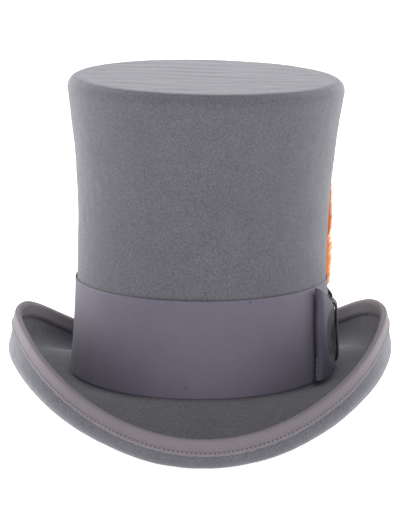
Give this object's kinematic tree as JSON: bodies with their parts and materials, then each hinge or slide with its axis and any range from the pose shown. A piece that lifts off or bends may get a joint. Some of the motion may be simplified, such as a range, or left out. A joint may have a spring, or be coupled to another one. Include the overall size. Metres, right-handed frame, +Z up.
{
  "type": "top hat",
  "caption": "Tall wool felt top hat with a waisted crown, flat tip, rolled bound brim, ribbon band with a flat bow, and a removable feather.",
  "frame": {"origin": "on the table, under the centre of the hat, at the lowest point of the rolled brim", "axes": "+Z up through the crown, -Y towards the front of the hat, +X towards the bow on the wearer's left"},
  "size_m": [0.2554, 0.3196, 0.2332],
  "materials": {
    "wool_felt": "dense matt wool felt, mid grey, fine nap",
    "binding_grosgrain": "mauve-grey grosgrain ribbon, fine cross ribs",
    "band_grosgrain": "purple-grey grosgrain ribbon, fine cross ribs",
    "bow_grosgrain": "dark purple-grey grosgrain ribbon",
    "thread": "spun sewing thread, matt",
    "quill": "pale horn of a feather's quill, semi-gloss",
    "feather_barbs": "dyed orange feather barbs with a silky sheen",
    "feather_down": "pale orange down",
    "sweat_leather": "thin dark leather, fine grain, semi-matt",
    "reed_plastic": "smooth covered rod, matt",
    "satin": "dark grey satin with a soft sheen"
  },
  "bodies": {
    "hat": {"felt_body": "wool_felt", "brim_binding": "binding_grosgrain", "binding_thread": "thread", "hat_band": "band_grosgrain", "band_tacks": "thread", "bow_backing": "bow_grosgrain", "bow_loops": "bow_grosgrain", "bow_knot": "bow_grosgrain", "sweatband": "sweat_leather", "sweatband_reed": "reed_plastic", "sweatband_thread": "thread", "sweatband_bow": "bow_grosgrain", "lining_side": "satin", "lining_tip": "satin"},
    "feather": {"feather_quill": "quill", "feather_vane": "feather_barbs", "feather_down": "feather_down"}
  },
  "joints": [
    {"name": "feather_slide", "type": "slide", "parent": "hat", "child": "feather", "axis": [0, 0, 1], "range_m": [0, 0.016]}
  ]
}
